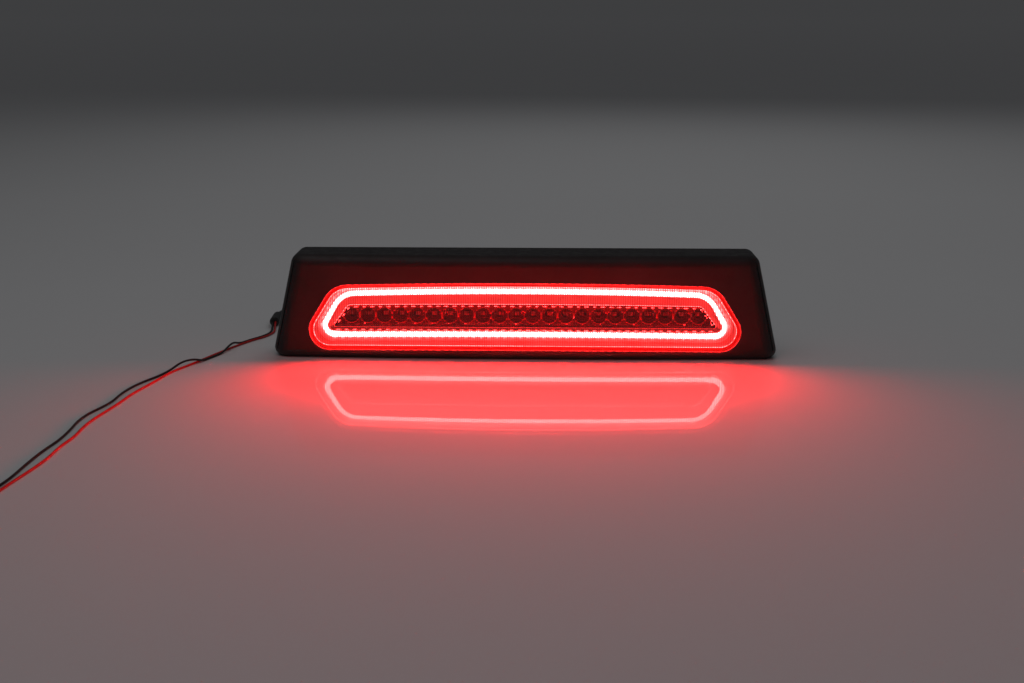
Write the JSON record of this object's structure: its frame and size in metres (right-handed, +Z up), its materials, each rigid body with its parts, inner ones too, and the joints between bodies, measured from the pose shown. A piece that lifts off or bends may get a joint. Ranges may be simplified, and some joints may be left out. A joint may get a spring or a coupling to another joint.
{
  "type": "third brake light",
  "caption": "Wide trapezoid LED third brake light with a black housing, red fluted lens, lit ring bar round a row of reflector cups, rear studs and a two-wire lead.",
  "frame": {"origin": "middle of the lamp's footprint on the surface it stands on, without the cable", "axes": "+X along the lamp, to the right as seen from the light's front; -Y the way the light faces; +Z up"},
  "size_m": [0.4989, 0.5133, 0.079],
  "materials": {
    "bezel_silver": "bright silver-white moulding",
    "board_green": "green solder mask",
    "board_white": "white solder mask",
    "bond_clear": "clear bonding line, lit red by the lens's skirt",
    "boot_rubber": "heat-shrunk boot",
    "capacitor_can": "aluminium can",
    "chip_black": "epoxy package",
    "connector_black": "glass-filled nylon",
    "cover_black": "moulded ABS",
    "gasket_foam": "closed-cell foam",
    "grommet_rubber": "moulded rubber",
    "guide_lit": "milky acrylic, lit red-white",
    "housing_black": "fine-grained moulded ABS",
    "lead_white": "thin insulated lead",
    "led_lit": "surface-mount LED, lit",
    "led_off": "surface-mount LED, unlit",
    "lens_red": "clear red acrylic with upright flutes",
    "reflector_chrome": "vacuum-metallised plastic",
    "screw_zinc": "bright zinc plate",
    "seal_black": "soft butyl",
    "silicone_orange": "silicone seal",
    "sleeve_pvc": "soft PVC sleeve",
    "stud_zinc": "zinc-plated threaded stud",
    "terminal_tin": "tin-plated brass",
    "vent_black": "moulded polypropylene",
    "wire_black": "soft PVC insulation",
    "wire_red": "soft PVC insulation"
  },
  "bodies": {
    "lamp": {"black_wire": "wire_black", "body_gasket": "gasket_foam", "cable_grommet": "grommet_rubber", "cable_sleeve": "sleeve_pvc", "centre_board_leads": "lead_white", "centre_board_screws": "screw_zinc", "centre_led_board": "board_white", "centre_leds": "led_off", "connector_body": "connector_black", "connector_face_seal": "silicone_orange", "connector_terminals": "terminal_tin", "cover_screws": "screw_zinc", "cover_seal": "seal_black", "driver_board": "board_green", "driver_board_screws": "screw_zinc", "driver_capacitors": "capacitor_can", "driver_diodes": "chip_black", "driver_regulator": "chip_black", "driver_resistors": "chip_black", "halo_board_leads": "lead_white", "halo_board_screws": "screw_zinc", "halo_led_board": "board_white", "halo_leds": "led_lit", "halo_light_guide": "guide_lit", "inner_bezel": "bezel_silver", "inner_black_lead": "wire_black", "inner_red_lead": "wire_red", "lens_seal": "bond_clear", "mounting_studs": "stud_zinc", "outer_housing": "housing_black", "outer_lens": "lens_red", "rear_cover": "cover_black", "red_wire": "wire_red", "reflector_strip": "reflector_chrome", "sleeve_boot": "boot_rubber", "vent_plug": "vent_black", "wire_seals": "silicone_orange"},
    "latch": {"connector_latch": "connector_black"}
  },
  "joints": [
    {"name": "connector_latch_press", "type": "hinge", "parent": "lamp", "child": "latch", "pos_m": [-0.3, -0.3625, 0.0134], "axis": [-1, 0, 0], "range_deg": [0, 6], "stiffness_Nm_per_rad": 0.02, "springref_deg": -2.86}
  ]
}
